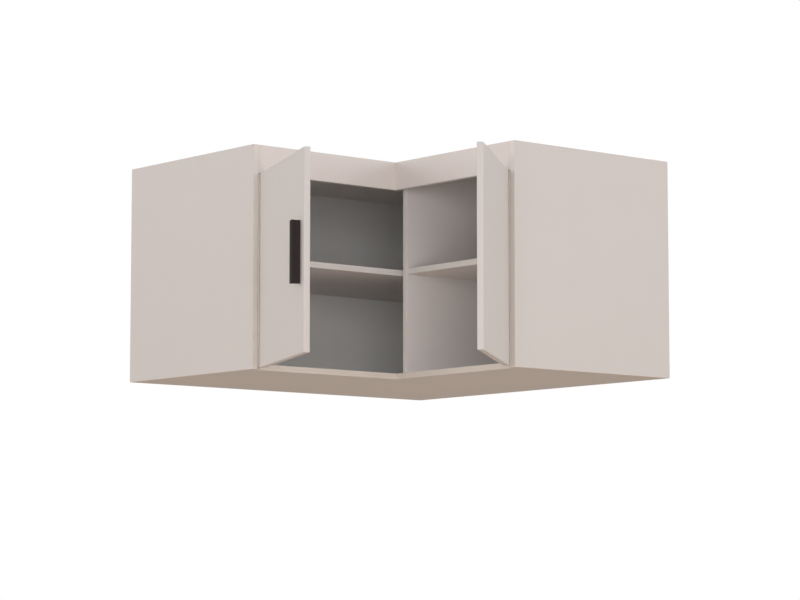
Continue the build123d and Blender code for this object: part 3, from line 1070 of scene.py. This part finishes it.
@dataclass
class Fittings:
    """Hinges, screws, cams, pins, hangers and rails: painted as they are."""

    beige: Lacquer = Lacquer(srgb(206, 199, 193), srgb(200, 192, 185), Sheen(0.45, 0.1))
    plastic: MouldedPlastic = MouldedPlastic()
    steel: PlatedMetal = PlatedMetal(
        srgb(186, 188, 190), srgb(154, 157, 160), Grain(1800.0, 2.0, (0.06, 0.06, 1.0)),
    )
    zinc: PlatedMetal = PlatedMetal(
        srgb(176, 177, 178), srgb(140, 141, 143), Grain(1800.0, 2.0),
    )
    dowel: BeechDowel = BeechDowel()
    dot: SoftDot = SoftDot()

    def finishes(self) -> dict[str, bpy.types.Material]:
        """Make one material for each of the record's slots that fittings use.

        Returns:
            The materials by slot.
        """
        return {
            "painted_fitting": self.beige.make("beige_lacquer"),
            "fitting_plastic": self.plastic.make("fitting_plastic"),
            "fitting_steel": self.steel.make("plated_steel"),
            "cam_zinc": self.zinc.make("zinc"),
            "beech": self.dowel.make("beech"),
            "clear_rubber": self.dot.make("soft_dot"),
        }

    def build(self) -> list[bpy.types.Object]:
        """Paint every fitting by its slot.

        Returns:
            The painted nodes.
        """
        finishes = self.finishes()
        painted = []
        for part in frame["record"]["subparts"]:
            if part["material_slot"] in finishes:
                fitting = frame["nodes"][part["node"]]
                paint(fitting, finishes[part["material_slot"]])
                painted.append(fitting)
        return painted


# ---------------------------------------------------------------- studio


@dataclass(frozen=True)
class SoftBox:
    """A rectangular lamp aimed at the cabinet's open front.

    bearing and height_angle say where it stands from there, in degrees, and power is in watts.
    """

    name: str
    bearing: float
    height_angle: float
    power: float
    size: tuple[float, float] = (3.0, 2.2)
    distance: float = 6.0
    aim: Direction = (0.45, -0.45, 0.28)

    def build(self) -> bpy.types.Object:
        """Add the lamp.

        Returns:
            The lamp.
        """
        data = bpy.data.lights.new(self.name, "AREA")
        data.shape = "RECTANGLE"
        data.size, data.size_y = self.size
        data.energy = self.power
        turn, tilt = math.radians(self.bearing), math.radians(self.height_angle)
        flat = math.cos(tilt)
        way = Vector((flat * math.cos(turn), flat * math.sin(turn), math.sin(tilt)))
        lamp = bpy.data.objects.new(self.name, data)
        lamp.location = Vector(self.aim) + way * self.distance
        lamp.rotation_euler = way.to_track_quat("Z", "Y").to_euler()
        lamp.visible_camera = False
        bpy.context.scene.collection.objects.link(lamp)
        return lamp


@dataclass
class Studio:
    """Floor, world, lamps and camera.

    Where the floor is seen, its colour and a glow together read as white paper, and the colour
    keeps the cabinet's shadow. Where it only throws light on, it is warmer and doesn't glow.
    camera_tilt is the camera's angle from straight down, in degrees.
    """

    floor_height: float = -1.45
    floor_half: float = 30.0
    floor_colour: Colour = srgb(150, 149, 147)
    floor_glow: Colour = srgb(182, 181, 179)
    floor_bounce: Colour = srgb(213, 189, 167)
    glow_strength: float = 1.0
    floor_roughness: float = 0.9
    world_level: float = 0.43
    camera_place: Direction = (6.5422, -5.5243, -0.6369)
    camera_tilt: float = 96.2810
    camera_yaw: float = 50.2314
    camera_lens: float = 127.62
    camera_sensor: float = 36.0
    lamps: tuple[SoftBox, ...] = (
        SoftBox("front_lamp", bearing=-39.0, height_angle=1.0, power=116.0, size=(3.0, 1.6)),
        SoftBox("left_lamp", bearing=-126.0, height_angle=12.0, power=95.0),
        SoftBox("right_lamp", bearing=38.0, height_angle=12.0, power=90.0),
        SoftBox("back_lamp", bearing=135.0, height_angle=30.0, power=40.0),
        SoftBox(
            "fill_lamp", bearing=-45.0, height_angle=-12.0, power=1.13, size=(0.3, 0.3),
            distance=0.85,
        ),
    )

    def floor(self) -> bpy.types.Object:
        """Add the floor, which is clear from behind, so that views from under it show the cabinet.

        Returns:
            The floor.
        """
        mesh = bmesh.new()
        place = Matrix.Translation((0, 0, self.floor_height))
        bmesh.ops.create_grid(
            mesh, x_segments=1, y_segments=1, size=self.floor_half, matrix=place,
        )
        graph = Surface("floor_paint")
        tone = graph.blend(graph.seen(), self.floor_bounce, self.floor_colour)
        glow = graph.blend(graph.seen(), BLACK, self.floor_glow)
        graph.set(
            Base_Color=tone, Roughness=self.floor_roughness, Emission_Color=glow,
            Emission_Strength=self.glow_strength,
        )
        graph.show_front_only()
        floor = new_piece("floor", mesh, graph.material)
        return floor

    def world(self) -> None:
        """Make the world white where it is seen and an even level where it lights."""
        world = bpy.data.worlds.new("studio_world")
        bpy.context.scene.world = world
        world.use_nodes = True
        graph = Graph(world.node_tree)
        strength = self.world_level + graph.seen() * (1 - self.world_level)
        back = world.node_tree.nodes["Background"]
        graph.feed(back.inputs["Color"], WHITE)
        graph.feed(back.inputs["Strength"], strength)

    def camera(self) -> bpy.types.Object:
        """Add the camera at the photograph's viewing angle.

        Returns:
            The camera.
        """
        data = bpy.data.cameras.new("camera")
        data.sensor_width = self.camera_sensor
        data.lens = self.camera_lens
        camera = bpy.data.objects.new("camera", data)
        camera.location = self.camera_place
        camera.rotation_euler = (math.radians(self.camera_tilt), 0, math.radians(self.camera_yaw))
        bpy.context.scene.collection.objects.link(camera)
        bpy.context.scene.camera = camera
        return camera

    def build(self) -> list[bpy.types.Object]:
        """Set up the studio.

        Returns:
            The floor, lamps and camera.
        """
        self.world()
        bpy.context.scene.view_settings.view_transform = "Standard"
        return [self.floor(), *(lamp.build() for lamp in self.lamps), self.camera()]


def main() -> None:
    """Build and dress the cabinet in order, and report each piece."""
    logging.basicConfig(level=logging.INFO)
    left_door = Door("left", closed_angle=90.0, turn=-1)
    right_door = Door("right", closed_angle=180.0, turn=1)
    assemblies: list[Assembly] = [
        Studio(), Carcass(), left_door, right_door, BarHandle(left_door), Fittings(),
    ]
    for assembly in assemblies:
        for piece in assembly.build():
            LOG.info("%s: %s", type(assembly).__name__, piece.name)


if __name__ == "__main__":
    main()
